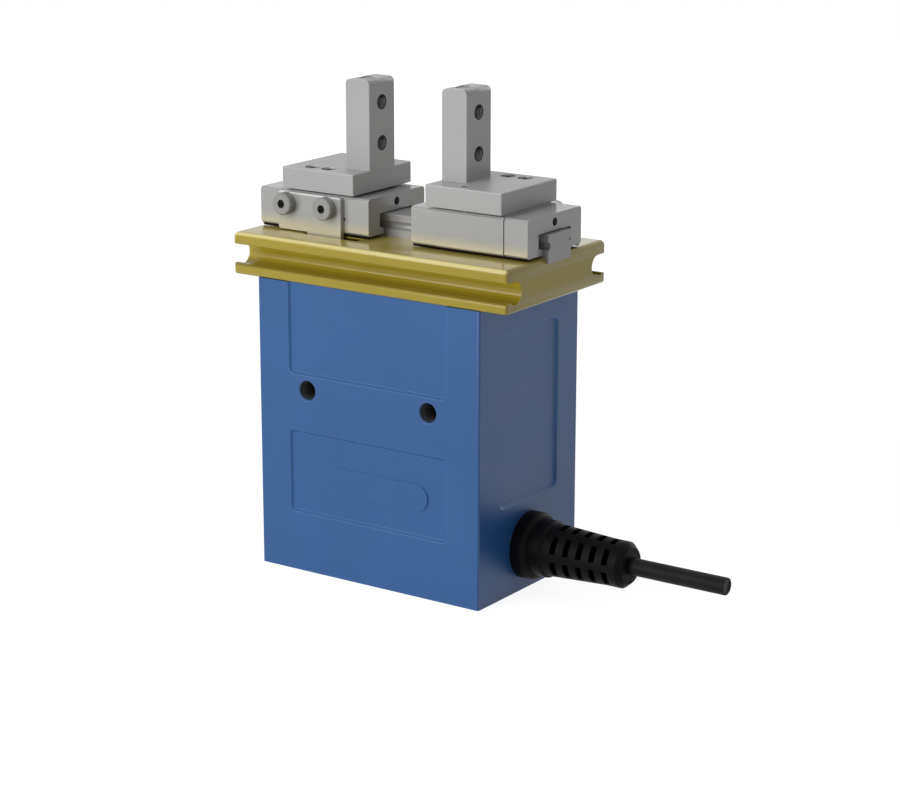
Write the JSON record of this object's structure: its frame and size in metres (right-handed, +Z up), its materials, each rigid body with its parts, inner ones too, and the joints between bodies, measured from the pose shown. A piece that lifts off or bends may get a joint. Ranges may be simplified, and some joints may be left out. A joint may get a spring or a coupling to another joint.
{
  "type": "electric two finger gripper",
  "caption": "Electric parallel gripper: two jaws on a linear rail, closed together by a rack and pinion drive in a box housing with a side cable.",
  "frame": {"origin": "middle of the underside of the housing", "axes": "+X along the guide rail towards the cable's side, +Y towards the back, away from the two threaded holes, +Z up towards the fingers"},
  "size_m": [0.1964, 0.0666, 0.1855],
  "materials": {
    "blue_coat": "satin",
    "yellow_coat": "satin",
    "steel": "satin",
    "carriage_steel": "satin",
    "plated_steel": "satin",
    "grey_alloy": "satin",
    "machined_alloy": "satin",
    "black_metal": "satin",
    "black_plastic": "matte",
    "black_rubber": "satin",
    "board_green": "satin",
    "brass": "satin"
  },
  "bodies": {
    "base": {"housing": "blue_coat", "bottom_cover": "black_metal", "cover_screw_1": "steel", "cover_screw_2": "steel", "cover_screw_3": "steel", "cover_screw_4": "steel", "guide_plate": "yellow_coat", "deck_screws": "steel", "guide_rail": "steel", "rail_screws": "steel", "gearbox": "machined_alloy", "gearbox_screws": "steel", "motor_front_bell": "machined_alloy", "motor_stator": "black_metal", "motor_rear_bell": "machined_alloy", "encoder_cover": "black_plastic", "control_board": "board_green", "board_standoffs": "brass", "board_parts": "black_plastic", "bearing_outer": "steel", "bearing_balls": "steel", "shaft_bush": "brass", "cable_gland": "black_rubber", "gland_locknut": "black_plastic", "strain_relief": "black_rubber", "inner_cable": "black_rubber", "cable": "black_rubber"},
    "left_jaw": {"left_carriage": "carriage_steel", "left_outer_cap": "carriage_steel", "left_inner_cap": "carriage_steel", "left_ball_rows": "steel", "left_finger": "grey_alloy", "left_finger_screw": "plated_steel", "left_finger_pins": "steel", "left_bracket": "plated_steel", "left_bracket_screw_1": "plated_steel", "left_bracket_screw_2": "plated_steel", "left_rack": "steel", "left_rack_screws": "steel"},
    "right_jaw": {"right_carriage": "carriage_steel", "right_outer_cap": "carriage_steel", "right_inner_cap": "carriage_steel", "right_ball_rows": "steel", "right_finger": "grey_alloy", "right_finger_screw": "plated_steel", "right_finger_pins": "steel", "right_bracket": "plated_steel", "right_bracket_screw_1": "plated_steel", "right_bracket_screw_2": "plated_steel", "right_rack": "steel", "right_rack_screws": "steel"},
    "pinion_shaft": {"output_shaft": "steel", "pinion": "steel", "bearing_inner": "steel", "shaft_key": "steel"}
  },
  "joints": [
    {"name": "left_jaw_slide", "type": "slide", "parent": "base", "child": "left_jaw", "axis": [1, 0, 0], "range_m": [0, 0.008]},
    {"name": "right_jaw_slide", "type": "slide", "parent": "base", "child": "right_jaw", "axis": [-1, 0, 0], "range_m": [0, 0.008]},
    {"name": "pinion_spin", "type": "hinge", "parent": "base", "child": "pinion_shaft", "pos_m": [0, 0, 0.1178], "axis": [0, 0, 1], "range_deg": [0, 64]}
  ],
  "couplings": [
    {"joint": "right_jaw_slide", "follows": "left_jaw_slide", "ratio": 1},
    {"joint": "pinion_spin", "follows": "left_jaw_slide", "rad_per_m": 138.89}
  ]
}
